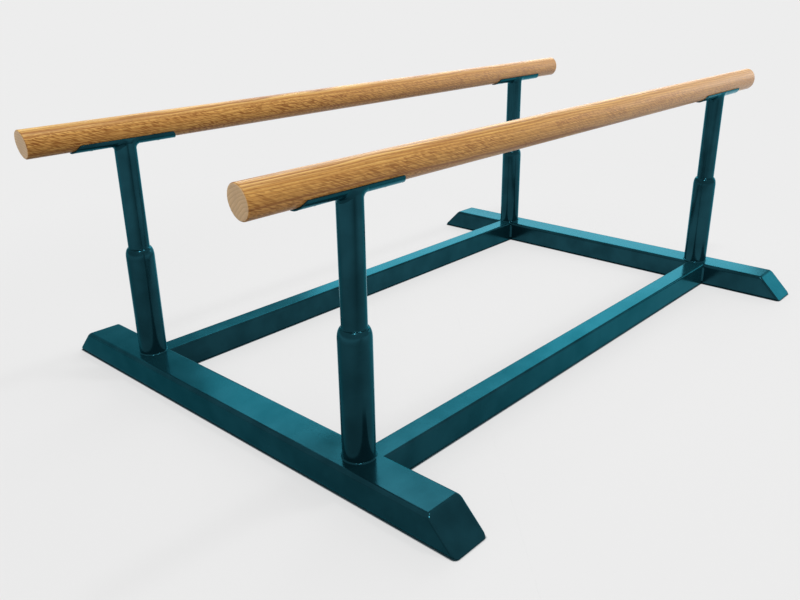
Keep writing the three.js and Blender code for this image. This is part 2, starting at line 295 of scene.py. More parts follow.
@dataclass(frozen=True)
class LacqueredAsh:
    """Ash under a satin lacquer, turned to an oval rail from one board.

    The eye sees gold and brown growth rings as long stripes over the top, a fine slanting fleck on the
    sides, redder heartwood low down behind a dark line, pores as short brown dashes, and paler, greyer end
    grain. The dark line is painted shade along the rail's shaded lower side, and the redder wood below it is
    heartwood that also stands in for a painted warm bounce light. The end grain is painted paler than its
    own colour, a painted lightening of the shaded ends. The board is painted paler towards the rear, a
    painted sheen on the far part. The pores are drawn about three times as wide as real ones, so that they
    show. A size is the length of a patch along the grain and its width across.

    Attributes:
        name: The board's name.
        centre: The rail's middle.
        heart: Where the tree's heart lies across the rail, from the rail's middle.
        heartwood: The heartwood's radius, along whose edge runs a painted shade line.
        lean: How far the grain leans from the rail's length, about Y and about Z.
        fleck: The least and the most of the fleck's colour on the sides.
        early_wood: The places in a growth ring where the pores are fewest and most.
        late_share: How much of the pores' cover is left where they are fewest.
        side_span: How far up a face points on top of the rail, and on its sides.
        end_span: How far along the rail a face points where the end grain starts, and on the end.
        end_share: How much the end grain's colour covers the ends.
    """

    name: str
    centre: Vector
    heart: Pair
    heartwood: float
    lean: Pair
    fleck: Pair
    ring_width: float = 4.6 * MM
    # The width of the painted shade line at the heartwood's edge, which also sets how the redder heartwood
    # fades in, and then how much the redder heartwood and that painted shade cover.
    shade_line_width: float = 2.2 * MM
    heartwood_and_shade_share: float = 0.7
    wander: float = 9 * MM
    wander_size: Pair = (190 * MM, 30 * MM)
    figure_size: Pair = (90 * MM, 18 * MM)
    streak_size: Pair = (170 * MM, 1.8 * MM)
    streak: Layer = Layer(0.44, 0.62, 0.75, "#96602A")
    evening: Layer = Layer(0.0, 1.0, 0.5, "#D49C52")
    fleck_size: Pair = (20 * MM, 1.7 * MM)
    fleck_slant: float = math.radians(21)
    fleck_patches: Pair = (0.42, 0.62)
    dash: Layer = Layer(0.46, 0.58, 1.0, "#8B5522")
    pore_size: Pair = (8 * MM, 1.3 * MM)
    pore_depth: float = 0.12 * MM
    pore: Layer = Layer(0.56, 0.7, 0.6, "#70431A")
    early_wood: Pair = (0.55, 0.1)
    late_share: float = 0.25
    # Paler towards the rear of the rail: a painted sheen on the far part.
    painted_far_sheen: Layer = Layer(-250 * MM, 770 * MM, 0.4, "#DCB088")
    # The end grain's grey cloud, also painted lighter than its own colour as painted light on the shaded
    # ends.
    cloud: Layer = Layer(0.4, 0.65, 0.6, "#D6B690")
    side_span: Pair = (0.8, 0.35)
    end_span: Pair = (0.75, 0.95)
    end_share: float = 0.9
    roughness: Pair = (0.36, 0.52)

    def fleck_cover(self, tree: Tree, grain: Source, on_sides: Source, figure: Source) -> Node:
        """Adds the slanting fleck that the sides show.

        Args:
            tree: The material's tree.
            grain: The place in the board.
            on_sides: 1 on the rail's sides and 0 on top.
            figure: The slow noise that gathers the fleck in patches.

        Returns:
            How much of the fleck's colour covers the wood.
        """
        slanted = node(tree, "Mapping", {"Vector": grain, "Rotation": (0.0, -self.fleck_slant, 0.0)})
        patches = node(tree, "MapRange", {
            "Value": figure,
            "From Min": self.fleck_patches[0],
            "From Max": self.fleck_patches[1],
            "To Min": self.fleck[0],
            "To Max": self.fleck[1],
        })
        hatch = stretched_noise(tree, slanted, self.fleck_size, 1.0)
        return self.dash.cover(tree, hatch, on_sides, patches)

    def end_grain(self, tree: Tree, rings: Source, figure: Source) -> Node:
        """Adds the colour of the sawn ends: faint rings, clouded with grey, painted lighter to make up for
        the shade on the ends.
        """
        # The ring colours are lighter than real ash end grain: painted light on the shaded end faces.
        lightened_rings = node(tree, "ValToRGB", {"Fac": rings}, stops=(
            (0.0, "#D3AF84"), (0.3, "#E4C194"), (1.0, "#EECDA2")))
        return node(tree, "Mix", {
            "Factor": self.cloud.cover(tree, figure),
            "A": lightened_rings,
            "B": linear(self.cloud.colour),
        }, data_type="RGBA")

    def material(self) -> bpy.types.Material:
        """Builds the material."""
        material, tree = new_material(f"lacquered_ash_{self.name}")
        coordinates = node(tree, "TexCoord")
        centred = node(tree, "Mapping", {"Vector": coordinates.outputs["Object"], "Location": -self.centre})
        grain = node(tree, "Mapping", {
            "Vector": centred,
            "Rotation": (0.0, *self.lean),
            "Location": (0.0, -self.heart[0], -self.heart[1]),
        })
        drift = stretched_noise(tree, grain, self.wander_size, 2.0)
        wandered = node(tree, "VectorMath", {
            0: drift.outputs["Color"],
            1: (0.0, self.wander, self.wander),
            2: grain,
        }, operation="MULTIPLY_ADD")
        rings = node(tree, "TexWave", {
            "Vector": wandered,
            "Scale": math.tau / WAVE_RATE / self.ring_width,
        }, wave_type="RINGS", rings_direction="X", wave_profile="SAW").outputs["Fac"]
        streaks = stretched_noise(tree, grain, self.streak_size, 3.0)
        figure = stretched_noise(tree, grain, self.figure_size, 2.0)

        across = node(tree, "VectorMath", {0: wandered, 1: (0.0, 1.0, 1.0)}, operation="MULTIPLY")
        radius = node(tree, "VectorMath", {0: across}, operation="LENGTH")
        off_line = node(tree, "Math", {0: radius, 1: -self.heartwood}, operation="ADD")
        from_line = node(tree, "Math", {0: off_line}, operation="ABSOLUTE")
        # Redder heartwood low down, which also stands in for a painted warm bounce light on the rail's lower
        # side.
        redder = Layer(self.heartwood + self.shade_line_width, self.heartwood - 3 * self.shade_line_width,
                       self.heartwood_and_shade_share, "#C58A50")
        # A dark line at the heartwood's edge: painted shade along the rail's shaded lower side.
        painted_shade_line = Layer(self.shade_line_width, 0.0, self.heartwood_and_shade_share, "#7C4421")

        early_wood = node(tree, "MapRange", {
            "Value": rings,
            "From Min": self.early_wood[0],
            "From Max": self.early_wood[1],
            "To Min": self.late_share,
        })
        pore_cover = self.pore.cover(tree, stretched_noise(tree, grain, self.pore_size, 1.0), early_wood)
        along = node(tree, "SeparateXYZ", {"Vector": centred}).outputs["X"]
        facing = node(tree, "SeparateXYZ", {"Vector": coordinates.outputs["Normal"]})
        on_sides = node(tree, "MapRange", {
            "Value": facing.outputs["Z"], "From Min": self.side_span[0], "From Max": self.side_span[1]})
        layers = (
            (self.streak, self.streak.cover(tree, streaks)),
            (redder, redder.cover(tree, radius)),
            (self.evening, self.evening.cover(tree, on_sides)),
            (painted_shade_line, painted_shade_line.cover(tree, from_line)),
            (self.dash, self.fleck_cover(tree, grain, on_sides, figure)),
            (self.pore, pore_cover),
            (self.painted_far_sheen, self.painted_far_sheen.cover(tree, along)),
        )
        colour = node(tree, "ValToRGB", {"Fac": rings}, stops=(
            (0.0, "#875824"), (0.16, "#A97738"), (0.4, "#C5964F"), (0.8, "#D9B168"), (1.0, "#AF7C41")))
        for layer, cover in layers:
            colour = node(tree, "Mix", {
                "Factor": cover, "A": colour, "B": linear(layer.colour)}, data_type="RGBA")
        end_on = node(tree, "Math", {0: facing.outputs["X"]}, operation="ABSOLUTE")
        sawn = node(tree, "MapRange", {
            "Value": end_on,
            "From Min": self.end_span[0],
            "From Max": self.end_span[1],
            "To Max": self.end_share,
        })
        colour = node(tree, "Mix", {
            "Factor": sawn, "A": colour, "B": self.end_grain(tree, rings, figure)}, data_type="RGBA")

        shader = node(tree, "BsdfPrincipled", {
            "Base Color": colour,
            "Roughness": node(tree, "MapRange", {
                "Value": streaks, "To Min": self.roughness[0], "To Max": self.roughness[1]}),
            "Specular IOR Level": 0.2,
            "Coat Weight": 0.05,
            "Coat Roughness": 0.3,
            "Normal": node(tree, "Bump", {"Height": pore_cover, "Distance": self.pore_depth}, invert=True),
        })
        node(tree, "OutputMaterial", {"Surface": shader})
        return material


@dataclass(frozen=True)
class ZincPlate:
    """Bright zinc plate on a steel screw: a pale silver with slightly cloudy patches."""

    bright: str = "#C9CDD2"
    dull: str = "#A9AEB3"
    cloud_size: float = 4 * MM
    roughness: Pair = (0.22, 0.42)

    def material(self) -> bpy.types.Material:
        """Builds the material."""
        material, tree = new_material("bright_zinc_plate")
        place = node(tree, "TexCoord").outputs["Object"]
        clouds = node(tree, "TexNoise", {"Vector": place, "Scale": 1 / self.cloud_size, "Detail": 2.0})
        colour = node(tree, "Mix", {
            "Factor": clouds, "A": linear(self.dull), "B": linear(self.bright)}, data_type="RGBA")
        polish = node(tree, "MapRange", {
            "Value": clouds, "To Min": self.roughness[0], "To Max": self.roughness[1]})
        shader = node(tree, "BsdfPrincipled", {
            "Base Color": colour, "Metallic": 1.0, "Roughness": polish})
        node(tree, "OutputMaterial", {"Surface": shader})
        return material


def mesh_data(bm: Shape, name: str) -> bpy.types.Mesh:
    """Turns a shape into mesh data of the given name, and frees the shape."""
    mesh = bpy.data.meshes.new(name)
    bm.to_mesh(mesh)
    bm.free()
    return mesh


def placed(name: str, data: bpy.types.ID) -> bpy.types.Object:
    """Puts an object with the given name and data into the scene."""
    made = bpy.data.objects.new(name, data)
    bpy.context.scene.collection.objects.link(made)
    return made


def finish_piece(bm: Shape, name: str, finish: Finish, *nodes: str, even_flats: bool = False) -> None:
    """Turns a finished shape into a piece of the bars.

    Args:
        bm: The shape, in place. It is freed.
        name: The piece's name.
        finish: The piece's finish.
        *nodes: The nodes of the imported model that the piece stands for.
        even_flats: Whether large flat faces keep an even shade beside their rounded edges.
    """
    slot, material = finish
    bmesh.ops.remove_doubles(bm, verts=bm.verts, dist=MERGE_DISTANCE)
    bmesh.ops.recalc_face_normals(bm, faces=bm.faces)
    mesh = mesh_data(bm, name)
    mesh.materials.append(material)
    mesh.shade_smooth()
    mesh.set_sharp_from_angle(angle=SMOOTH_ANGLE)
    piece = placed(name, mesh)
    if even_flats:
        shading = piece.modifiers.new("even_flats", "WEIGHTED_NORMAL")
        shading.keep_sharp = True
    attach(piece, BODY)
    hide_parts(*nodes)
    log.info("%s: %d faces", name, len(mesh.polygons))


def line_through(points: Iterable[tuple[float, float, float]], closed: bool = True) -> Shape:
    """Makes a shape of the edges that join points in turn, and the last to the first where closed."""
    bm = bmesh.new()
    verts = [bm.verts.new(point) for point in points]
    for start, end in zip(verts, verts[1:] + verts[:1] if closed else verts[1:]):
        bm.edges.new((start, end))
    return bm


def turned(section: Section, steps: int = TURNING_STEPS) -> Shape:
    """Turns a section about the Z axis, as on a lathe.

    Args:
        section: Points of radius and height. They form a loop, or run from the axis to the axis.
        steps: How many steps the turn has.

    Returns:
        The closed shape.
    """
    on_axis = section[0][0] == 0 and section[-1][0] == 0
    bm = line_through([(radius, 0, height) for radius, height in section], closed=not on_axis)
    bmesh.ops.spin(bm, geom=bm.verts[:] + bm.edges[:], cent=(0, 0, 0), axis=(0, 0, 1), angle=math.tau,
                   steps=steps, use_merge=True)
    bmesh.ops.remove_doubles(bm, verts=bm.verts, dist=MERGE_DISTANCE)
    return bm


def rounded_face(bm: Shape, width: float, height: float, corner: float,
                 steps: int = 6) -> bmesh.types.BMFace:
    """Adds a rectangle with round corners that stands on the X axis and faces along Y.

    Args:
        bm: The shape that the face goes into.
        width: The size along X.
        height: The size along Z.
        corner: The radius of the corners.
        steps: How many steps each corner has.

    Returns:
        The face.
    """
    bmesh.ops.create_grid(bm, x_segments=1, y_segments=1, size=0.5)
    bmesh.ops.scale(bm, vec=(width, height, 1), verts=bm.verts)
    bmesh.ops.bevel(bm, geom=bm.verts[:], offset=corner, affect="VERTICES", segments=steps, profile=0.5,
                    material=-1)
    upright = Matrix.Translation((0, 0, height / 2)) @ Matrix.Rotation(QUARTER_TURN, 4, "X")
    bmesh.ops.transform(bm, matrix=upright, verts=bm.verts)
    return bm.faces[:][0]


def extruded(bm: Shape, faces: list[bmesh.types.BMFace], run: Vector) -> list[bmesh.types.BMVert]:
    """Extrudes faces into a closed solid and returns the vertices of the far end."""
    grown = bmesh.ops.extrude_face_region(bm, geom=faces)
    far = [part for part in grown["geom"] if isinstance(part, bmesh.types.BMVert)]
    bmesh.ops.translate(bm, vec=run, verts=far)
    return far


def hollow_bar(width: float, height: float, corner: float, wall: float, length: float) -> Shape:
    """Makes a rectangular tube that lies along Y on the floor.

    Args:
        width: The size along X.
        height: The size along Z.
        corner: The outer corner radius.
        wall: The wall's thickness.
        length: The size along Y.

    Returns:
        The tube, centred on x = 0 and y = 0.
    """
    bm = bmesh.new()
    core = rounded_face(bm, width, height, corner)
    walls = bmesh.ops.inset_region(bm, faces=[core], thickness=wall, use_boundary=True, use_even_offset=True)
    bmesh.ops.delete(bm, geom=[core], context="FACES")
    extruded(bm, walls["faces"], Vector((0, length, 0)))
    bmesh.ops.translate(bm, vec=(0, -length / 2, 0), verts=bm.verts)
    return bm


def add_to(bm: Shape, part: Shape) -> None:
    """Adds a part to a shape and frees the part."""
    bmesh.ops.recalc_face_normals(part, faces=part.faces)
    mesh = mesh_data(part, "part")
    bm.from_mesh(mesh)
    bpy.data.meshes.remove(mesh)


def cut(bm: Shape, tool: Shape) -> Shape:
    """Cuts a closed shape out of another with a Boolean modifier, and frees both.

    Args:
        bm: The shape that is cut.
        tool: The shape that is taken away.

    Returns:
        What is left.
    """
    pieces = []
    for name, shape in (("blank", bm), ("tool", tool)):
        bmesh.ops.recalc_face_normals(shape, faces=shape.faces)
        pieces.append(placed(name, mesh_data(shape, name)))
    difference = pieces[0].modifiers.new("cut", "BOOLEAN")
    difference.object = pieces[1]
    difference.solver = "EXACT"
    rest = bmesh.new()
    rest.from_object(pieces[0], bpy.context.evaluated_depsgraph_get())
    for mesh in [piece.data for piece in pieces]:
        bpy.data.meshes.remove(mesh)
    return rest


@dataclass(frozen=True)
class Bead:
    """A fillet weld run under paint, with the scales that the pool leaves.

    Attributes:
        leg: The length of the weld's legs.
        swell: How far the face's middle stands out. It is below zero on a hollow face.
        ripple_pitch: The distance between two scales.
        ripple_height: How far a scale stands out.
        end_share: How much of a straight run's thickness is left at its ends.
    """

    leg: float
    swell: float
    ripple_pitch: float
    ripple_height: float
    end_share: float = 0.15

    def face(self, steps: int = 6) -> Section:
        """Gives the weld's open face, from its toe on the floor to its toe on the wall.

        Args:
            steps: How many steps the face has.

        Returns:
            Points of distance from the wall and height above the floor.
        """
        points = []
        for step in range(steps + 1):
            share = step / steps
            out = self.swell * math.sin(math.pi * share) / math.sqrt(2)
            points.append((self.leg * (1 - share) + out, self.leg * share + out))
        return points

    def rise(self, along: float, out: float, up: float) -> float:
        """Works out how far a scale lifts a point of the face, out and up alike.

        Args:
            along: The distance along the run.
            out: The point's distance from the wall.
            up: The point's height above the floor.

        Returns:
            The lift in each of the two directions, which is 0 in the root of the weld.
        """
        if out + up < self.leg / 2:
            return 0.0
        share = (up - out + self.leg) / (2 * self.leg)
        lag = (2 * share - 1) ** 2
        scale = (along / self.ripple_pitch + lag / 2) % 1
        height = self.ripple_height * (1 - (2 * scale - 1) ** 2) * math.sin(math.pi * share)
        return height / math.sqrt(2)

    def ring(self, radius: float, height: float) -> Shape:
        """Makes the run round a tube that stands on a flat face.

        Args:
            radius: The tube's radius.
            height: The height of the flat face.

        Returns:
            The ring, about the Z axis.
        """
        scales = round(math.tau * (radius + self.leg / 2) / self.ripple_pitch)
        section = [(radius, height)] + [(radius + out, height + up) for out, up in self.face()]
        bm = turned(section, scales * SCALE_STEPS)
        for vert in bm.verts:
            out = math.hypot(vert.co.x, vert.co.y) - radius
            turn = math.atan2(vert.co.y, vert.co.x) / math.tau
            rise = self.rise(turn * scales * self.ripple_pitch, out, vert.co.z - height)
            stretch = (radius + out + rise) / (radius + out)
            vert.co = Vector((vert.co.x * stretch, vert.co.y * stretch, vert.co.z + rise))
        return bm

    def upright(self, height: float) -> Shape:
        """Makes a run up the corner between the planes x = 0 and y = 0, on their positive sides.

        Args:
            height: How high the run goes from z = 0.

        Returns:
            The run.
        """
        steps = round(height / self.ripple_pitch * SCALE_STEPS)
        bm = line_through([(x, y, 0) for x, y in [(0.0, 0.0)] + self.face()])
        bmesh.ops.spin(bm, geom=bm.verts[:] + bm.edges[:], axis=(0, 0, 1), dvec=(0, 0, height / steps),
                       angle=0, steps=steps)
        for vert in bm.verts:
            x, y, z = vert.co
            rise = self.rise(z, x, y)
            from_end = min(1.0, max(0.0, min(z, height - z)) / self.leg)
            fade = self.end_share + (1 - self.end_share) * math.sqrt(1 - (1 - from_end) ** 2)
            vert.co = Vector(((x + rise) * fade, (y + rise) * fade, z))
        bmesh.ops.holes_fill(bm, edges=[edge for edge in bm.edges if edge.is_boundary])
        return bm


@dataclass(frozen=True)
class OvalSeat:
    """The oval along X that a saddle's underside follows.

    Attributes:
        axis: A point on the rail's axis.
        across: Half the oval's width.
        down: Half the oval's height.
    """

    axis: Vector
    across: float
    down: float

    def underside(self, y: float) -> float:
        """Gives the height of the underside at a place across the rail."""
        share = min(1.0, abs(y - self.axis.y) / self.across)
        return self.axis.z - self.down * math.sqrt(1 - share**2)


@dataclass
class FloorFrame:
    """The welded floor frame: two cross beams with closed, sloped feet, and two long beams.

    Attributes:
        enamel: The frame's finish.
        cross_wall: The wall of a cross beam.
        cross_corner: The outer corner radius of a cross beam.
        foot_slope: The slope that the feet are cut to.
        plate: The thickness of the plate that closes a foot.
        plate_edge: The rounding of the plate's outer edge.
        long_wall: The wall of a long beam.
        long_corner: The outer corner radius of a long beam.
        bead: The weld beside a long beam's end.
    """

    enamel: Finish
    cross_wall: float = 3 * MM
    cross_corner: float = 7 * MM
    foot_slope: float = math.radians(45)
    plate: float = 3 * MM
    plate_edge: float = 3.4 * MM
    long_wall: float = 2.5 * MM
    long_corner: float = 4 * MM
    bead: Bead = Bead(4 * MM, -0.6 * MM, 3.2 * MM, 0.2 * MM)

    def __post_init__(self) -> None:
        """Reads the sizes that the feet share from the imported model."""
        self.beam = Box.of("front_cross_beam")
        self.at_floor = Box.of("front_left_end_plate").high.y
        self.inner_face = Box.of("rear_cross_beam").low.x
        self.plate_run = self.plate / math.sin(self.foot_slope)
        self.slope_run = self.beam.size.z / math.tan(self.foot_slope)

    def sloped(self, bm: Shape, verts: list[bmesh.types.BMVert], side: Side) -> None:
        """Leans vertices inwards with their height, as the feet are cut."""
        for vert in verts:
            vert.co.y -= side.value * self.slope_run * vert.co.z / self.beam.size.z

    def cross_beam(self, end: End) -> None:
        """Builds a cross beam and the plates that close its feet."""
        name = end.name.lower()
        place = Box.of(f"{name}_cross_beam").centre.x
        half = self.at_floor - self.plate_run
        bm = hollow_bar(self.beam.size.x, self.beam.size.z, self.cross_corner, self.cross_wall, 2 * half)
        for side in Side:
            self.sloped(bm, [vert for vert in bm.verts if vert.co.y * side.value > 0], side)
        bmesh.ops.translate(bm, vec=(place, 0, 0), verts=bm.verts)
        finish_piece(bm, f"{name}_cross_tube", self.enamel, f"{name}_cross_beam", even_flats=True)
        for side in Side:
            self.foot_plate(end, side, place)

    def foot_plate(self, end: End, side: Side, place: float) -> None:
        """Builds the plate that closes a foot, with its outer edge eased.

        Args:
            end: The end that the foot is at.
            side: The side that the foot is on.
            place: The cross beam's place along X.
        """
        bm = bmesh.new()
        face = rounded_face(bm, self.beam.size.x, self.beam.size.z, self.cross_corner)
        outer = extruded(bm, [face], Vector((0, side.value * self.plate_run, 0)))
        rim = [edge for edge in bm.edges if all(vert in outer for vert in edge.verts)]
        bmesh.ops.translate(bm, vec=(place, side.value * (self.at_floor - self.plate_run), 0),
                            verts=bm.verts)
        self.sloped(bm, bm.verts[:], side)
        bmesh.ops.bevel(bm, geom=rim, offset=self.plate_edge, affect="EDGES", segments=EDGE_STEPS,
                        profile=0.5, material=-1)
        name = corner_name(end, side)
        finish_piece(bm, f"{name}_foot_plate", self.enamel, f"{name}_end_plate", even_flats=True)

    def long_beam(self, side: Side) -> None:
        """Builds a long beam, with its ends coped to the round corners of the cross beams."""
        name = side.name.lower()
        box = Box.of(f"{name}_long_beam")
        radius = self.cross_corner
        bm = hollow_bar(box.size.y, box.size.z, self.long_corner, self.long_wall, 2 * self.inner_face)
        for vert in bm.verts:
            into_corner = max(0.0, abs(vert.co.z - box.centre.z) - (self.beam.size.z / 2 - radius))
            fall = radius - math.sqrt(radius**2 - min(into_corner, radius) ** 2)
            vert.co.y += math.copysign(fall, vert.co.y)
        turn = Matrix.Translation((0, box.centre.y, 0)) @ Matrix.Rotation(QUARTER_TURN, 4, "Z")
        bmesh.ops.transform(bm, matrix=turn, verts=bm.verts)
        finish_piece(bm, f"{name}_long_tube", self.enamel, f"{name}_long_beam", even_flats=True)

    def beam_bead(self, end: End, side: Side) -> None:
        """Builds the weld beside a long beam's end: a run up each side, below the round corners."""
        name = corner_name(end, side)
        beam = Box.of(f"{side.name.lower()}_long_beam")
        bm = bmesh.new()
        for edge_side in Side:
            run = self.bead.upright(beam.size.z - 2 * self.cross_corner)
            edge = beam.centre.y + edge_side.value * beam.size.y / 2
            place = Matrix.Translation((end.value * self.inner_face, edge, beam.low.z + self.cross_corner))
            mirror = Matrix.Diagonal((-end.value, edge_side.value, 1, 1))
            bmesh.ops.transform(run, matrix=place @ mirror, verts=run.verts)
            add_to(bm, run)
        finish_piece(bm, f"{name}_beam_bead", self.enamel, f"{name}_beam_weld")

    def build(self) -> None:
        """Builds the whole frame."""
        for end in End:
            self.cross_beam(end)
        for side in Side:
            self.long_beam(side)
            for end in End:
                self.beam_bead(end, side)


@dataclass
class SteppedPost:
    """A post of two round tubes, with a bush whose rounded shoulder closes the step between them.

    Attributes:
        end: The end that the post is at.
        side: The side that the post is on.
        enamel: The post's finish.
        lower_wall: The wall of the lower tube.
        upper_wall: The wall of the upper tube.
        land: The flat ring on top of the bush.
        base: The weld on the cross beam.
        step: The weld on the bush.
        top: The weld under the saddle.
    """

    end: End
    side: Side
    enamel: Finish
    lower_wall: float = 2.5 * MM
    upper_wall: float = 2 * MM
    land: float = 0.6 * MM
    base: Bead = Bead(1.8 * MM, 0.0, 5 * MM, 0.3 * MM)
    step: Bead = Bead(1.8 * MM, -0.5 * MM, 2.2 * MM, 0.05 * MM)
    top: Bead = Bead(7 * MM, -1.7 * MM, 3 * MM, 0.12 * MM)

    def __post_init__(self) -> None:
        """Reads the post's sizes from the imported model."""
        self.name = corner_name(self.end, self.side)
        self.lower = Box.of(f"{self.name}_lower_post")
        self.upper = Box.of(f"{self.name}_upper_post")
        self.bush = Box.of(f"{self.name}_reducing_bush")
        self.floor = Box.of("front_cross_beam").high.z
        self.lower_radius = self.lower.size.x / 2
        self.upper_radius = self.upper.size.x / 2

    def add(self, bm: Shape, piece: str, node_name: str) -> None:
        """Stands a shape made about the Z axis on the post's place and finishes it."""
        bmesh.ops.translate(bm, vec=(self.lower.centre.x, self.lower.centre.y, 0), verts=bm.verts)
        finish_piece(bm, f"{self.name}_{piece}", self.enamel, f"{self.name}_{node_name}")

    def tube(self, radius: float, wall: float, low: float, high: float) -> Shape:
        """Makes an upright tube of the given outer radius and wall, from one height to another."""
        bore = radius - wall
        return turned([(bore, low), (radius, low), (radius, high), (bore, high)])

    def shoulder_bush(self, steps: int = 10) -> None:
        """Builds the bush: a spigot inside the lower tube and the rounded shoulder above it."""
        seat = self.lower.high.z
        land = self.upper_radius + self.land
        spigot = self.lower_radius - self.lower_wall
        section = [(self.upper_radius, self.bush.low.z), (spigot, self.bush.low.z), (spigot, seat)]
        for step in range(steps + 1):
            turn = QUARTER_TURN * step / steps
            section.append((land + (self.lower_radius - land) * math.cos(turn),
                            seat + (self.bush.high.z - seat) * math.sin(turn)))
        section.append((self.upper_radius, self.bush.high.z))
        self.add(turned(section), "shoulder_bush", "reducing_bush")

    def upper_tube(self, seat: OvalSeat) -> None:
        """Builds the upper tube, with its top coped to the saddle's underside."""
        bm = self.tube(self.upper_radius, self.upper_wall, self.upper.low.z, self.upper.high.z)
        for vert in bm.verts:
            if vert.co.z > self.upper.centre.z:
                vert.co.z = seat.underside(seat.axis.y + vert.co.y)
        self.add(bm, "upper_tube", "upper_post")

    def saddle_bead(self, seat: OvalSeat, lip: float) -> None:
        """Builds the weld between the upper tube and the saddle, along the line where the two meet.

        Args:
            seat: The saddle's underside.
            lip: Half the saddle's width, which the weld doesn't reach past.
        """
        bm = self.top.ring(self.upper_radius, 0)
        for vert in bm.verts:
            reach = abs(vert.co.y)
            if reach > lip:
                vert.co.y *= lip / reach
            vert.co.z = seat.underside(seat.axis.y + vert.co.y) - vert.co.z
        self.add(bm, "saddle_bead", "saddle_weld")

    def build(self, seat: OvalSeat, lip: float) -> None:
        """Builds the whole post under a saddle of the given underside and half width."""
        lower_tube = self.tube(self.lower_radius, self.lower_wall, self.floor, self.lower.high.z)
        self.add(lower_tube, "lower_tube", "lower_post")
        self.add(self.base.ring(self.lower_radius, self.floor), "base_bead", "base_weld")
        self.shoulder_bush()
        self.add(self.step.ring(self.upper_radius, self.bush.high.z), "step_bead", "step_weld")
        self.upper_tube(seat)
        self.saddle_bead(seat, lip)


